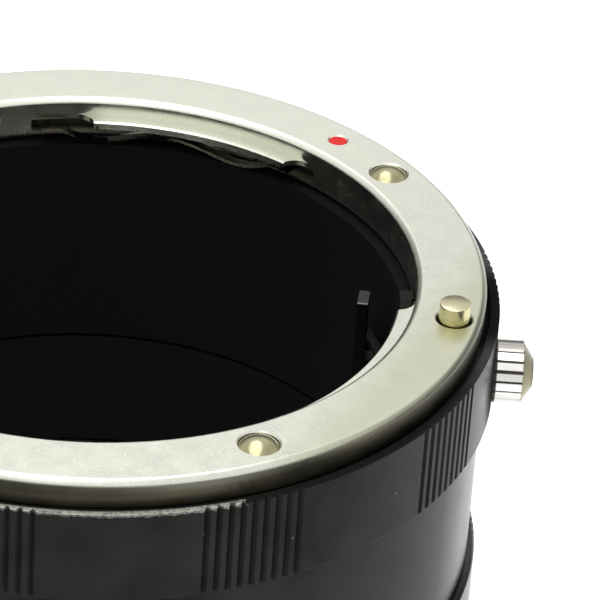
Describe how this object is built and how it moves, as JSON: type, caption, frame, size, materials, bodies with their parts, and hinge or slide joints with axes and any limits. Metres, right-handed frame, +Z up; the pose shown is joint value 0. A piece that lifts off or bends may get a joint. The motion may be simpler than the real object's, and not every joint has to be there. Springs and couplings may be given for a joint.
{
  "type": "macro extension tube",
  "caption": "Short round tube between camera and lens: plated bayonet rings on a black barrel with knurled grips, a round pin beside the throat and a bright knob on the side.",
  "frame": {"origin": "middle of the whole outline seen from above, at the camera-side rim that it stands on", "axes": "+Z up along the optical axis towards the lens, +X towards the lock knob"},
  "size_m": [0.0716, 0.0684, 0.0422],
  "materials": {
    "satin_plate": "satin, warm grey",
    "black_anodised": "black anodised, satin",
    "matt_black": "matt",
    "brass_plate": "smooth, slightly dulled",
    "bright_chrome": "polished",
    "spring_steel": "bare strip",
    "dark_steel": "blackened",
    "index_red": "paint in a recess"
  },
  "bodies": {
    "camera_side": {"rear_bayonet": "satin_plate", "rear_screw_1": "bright_chrome", "rear_screw_2": "bright_chrome", "rear_screw_3": "bright_chrome", "rear_screw_4": "bright_chrome", "rear_barrel": "black_anodised", "rear_index_dot": "index_red", "rear_light_trap": "matt_black"},
    "lens_side": {"front_barrel": "black_anodised", "light_baffle": "matt_black", "lens_bayonet": "satin_plate", "lens_screw_1": "brass_plate", "lens_screw_2": "brass_plate", "lens_screw_3": "brass_plate", "lens_screw_4": "brass_plate", "index_dot": "index_red", "leaf_spring_1": "spring_steel", "leaf_spring_2": "spring_steel", "leaf_spring_3": "spring_steel", "aperture_post": "dark_steel", "post_screw_1": "dark_steel", "post_screw_2": "dark_steel", "spring_guide": "dark_steel"},
    "lens_lock": {"lock_pin": "brass_plate", "lock_carriage": "dark_steel", "knob_stem": "dark_steel", "lock_knob": "bright_chrome", "lock_spring": "spring_steel"}
  },
  "joints": [
    {"name": "barrel_thread", "type": "hinge", "parent": "camera_side", "child": "lens_side", "pos_m": [-0.00163, 0, 0.0152], "axis": [0, 0, 1], "range_deg": [0, 1800]},
    {"name": "lock_slide", "type": "slide", "parent": "lens_side", "child": "lens_lock", "axis": [0, 0, -1], "range_m": [0, 0.0017], "stiffness_N_per_m": 200, "springref_m": -0.003, "deforming": ["lock_spring"]}
  ]
}
